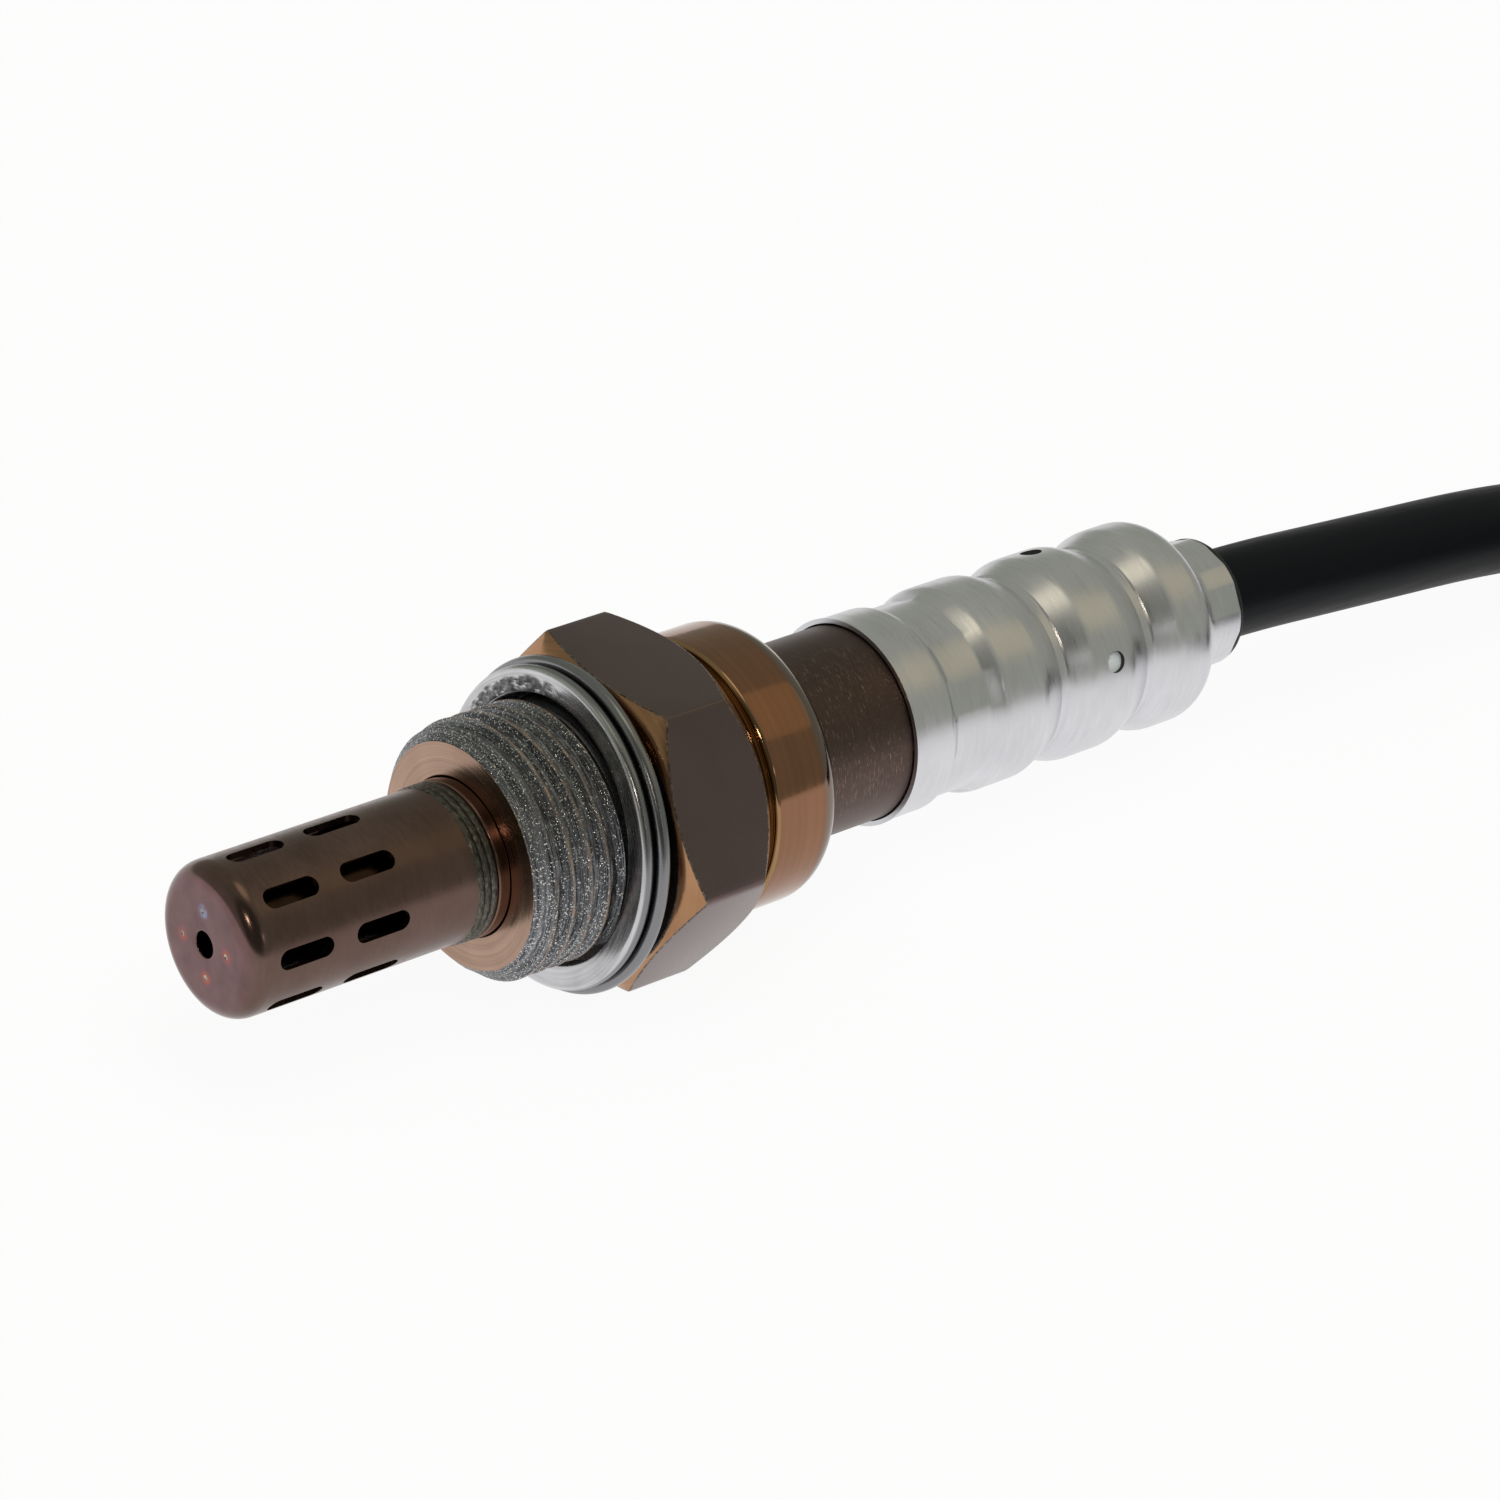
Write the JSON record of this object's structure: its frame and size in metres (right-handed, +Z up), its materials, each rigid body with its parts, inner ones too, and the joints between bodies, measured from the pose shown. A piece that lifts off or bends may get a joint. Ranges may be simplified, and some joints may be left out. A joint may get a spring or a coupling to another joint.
{
  "type": "oxygen sensor",
  "caption": "Threaded exhaust gas oxygen sensor with a slotted probe cover, hexagon body, crimped metal tail and a coiled lead with a plug.",
  "frame": {"origin": "on the sensor's axis, in the plane of the seat face that the gasket is pressed on", "axes": "+X along the sensor's axis from the probe's tip to the lead, +Z up, square to one flat of the hexagon, +Y to the left of +X"},
  "size_m": [0.2033, 0.0956, 0.0248],
  "materials": {
    "body_steel": "heat-tinted, with bare machined faces",
    "gasket_steel": "satin",
    "probe_steel": "satin, heat-tinted brown",
    "sleeve_steel": "satin, heat-tinted brown",
    "end_cover_steel": "satin with fine turning marks",
    "inner_steel": "plain",
    "zirconia": "matte",
    "alumina": "matte",
    "pressed_talc": "matte",
    "contact_alloy": "plain",
    "porous_filter": "matte",
    "grommet_rubber": "matte",
    "wire_white": "satin",
    "wire_black": "satin",
    "wire_grey": "satin",
    "cable_rubber": "satin",
    "tie_nylon": "satin",
    "plug_plastic": "satin",
    "lock_plastic": "satin",
    "silicone_seal": "satin",
    "terminal_brass": "tinned"
  },
  "bodies": {
    "root": {"alumina_sleeve": "alumina", "cable": "cable_rubber", "cable_boot": "grommet_rubber", "cable_coil": "cable_rubber", "cable_tail": "cable_rubber", "cable_tie": "tie_nylon", "connector_cap": "plug_plastic", "connector_housing": "plug_plastic", "connector_lead_1": "wire_white", "connector_lead_2": "wire_black", "connector_lead_3": "wire_white", "connector_lead_4": "wire_grey", "connector_terminal_1": "terminal_brass", "connector_terminal_2": "terminal_brass", "connector_terminal_3": "terminal_brass", "connector_terminal_4": "terminal_brass", "cover_base": "probe_steel", "end_cover": "end_cover_steel", "front_seal": "silicone_seal", "gasket": "gasket_steel", "grommet": "grommet_rubber", "heater_rod": "alumina", "heater_terminal_1": "contact_alloy", "heater_terminal_2": "contact_alloy", "inner_contact": "contact_alloy", "inner_cover": "inner_steel", "lead_wire_1": "wire_white", "lead_wire_2": "wire_black", "lead_wire_3": "wire_white", "lead_wire_4": "wire_grey", "outer_contact": "contact_alloy", "outer_cover": "probe_steel", "packing_ring": "inner_steel", "rear_sleeve": "sleeve_steel", "seat_washer": "inner_steel", "sensing_element": "zirconia", "sensor_body": "body_steel", "talc_seal": "pressed_talc", "terminal_insulator": "alumina", "terminal_lock": "lock_plastic", "vent_filter": "porous_filter", "wire_seal": "silicone_seal"}
  },
  "joints": []
}
